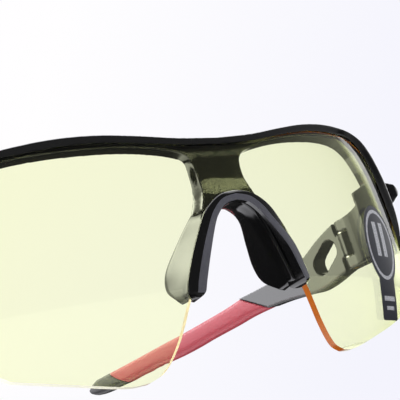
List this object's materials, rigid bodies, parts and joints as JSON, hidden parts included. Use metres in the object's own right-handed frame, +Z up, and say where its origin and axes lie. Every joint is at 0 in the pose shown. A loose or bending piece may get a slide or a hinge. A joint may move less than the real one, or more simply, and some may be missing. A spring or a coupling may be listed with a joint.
{
  "type": "cycling glasses",
  "caption": "Half-rim shield glasses for cycling: one tinted lens under a brow frame, a soft nose saddle, and folding temples with soft grips and tips.",
  "frame": {"origin": "middle of the bounding box on the table that the open glasses stand on", "axes": "+Z up, +Y from the lens towards the temple tips, +X towards the right of someone who faces the lens's outer side"},
  "size_m": [0.1346, 0.1784, 0.0546],
  "materials": {
    "frame_nylon": "glossy black injection-moulded nylon",
    "lens_polycarbonate": "clear, pale yellow polycarbonate that glows orange at its cut edge",
    "saddle_rubber": "smooth soft black rubber",
    "sleeve_rubber": "satin red rubber",
    "tip_rubber": "matt black rubber",
    "hinge_steel": "bright stainless steel",
    "nut_brass": "turned brass",
    "label_film": "printed vinyl film"
  },
  "bodies": {
    "front": {"brow_frame": "frame_nylon", "shield_lens": "lens_polycarbonate", "nose_rim": "frame_nylon", "nose_saddle": "saddle_rubber", "lens_label": "label_film", "left_hinge_screw": "hinge_steel", "left_hinge_nut": "nut_brass", "left_hinge_washers": "hinge_steel", "right_hinge_screw": "hinge_steel", "right_hinge_nut": "nut_brass", "right_hinge_washers": "hinge_steel"},
    "left_temple": {"left_temple_arm": "frame_nylon", "left_temple_sleeve": "sleeve_rubber", "left_temple_tip": "tip_rubber"},
    "right_temple": {"right_temple_arm": "frame_nylon", "right_temple_sleeve": "sleeve_rubber", "right_temple_tip": "tip_rubber"}
  },
  "joints": [
    {"name": "left_temple_hinge", "type": "hinge", "parent": "front", "child": "left_temple", "pos_m": [-0.0625, -0.03774, 0.02911], "axis": [0.0698, 0.1262, 0.9895], "range_deg": [-78, 0]},
    {"name": "right_temple_hinge", "type": "hinge", "parent": "front", "child": "right_temple", "pos_m": [0.0625, -0.03774, 0.02911], "axis": [-0.0698, 0.1262, 0.9895], "range_deg": [0, 70]}
  ]
}
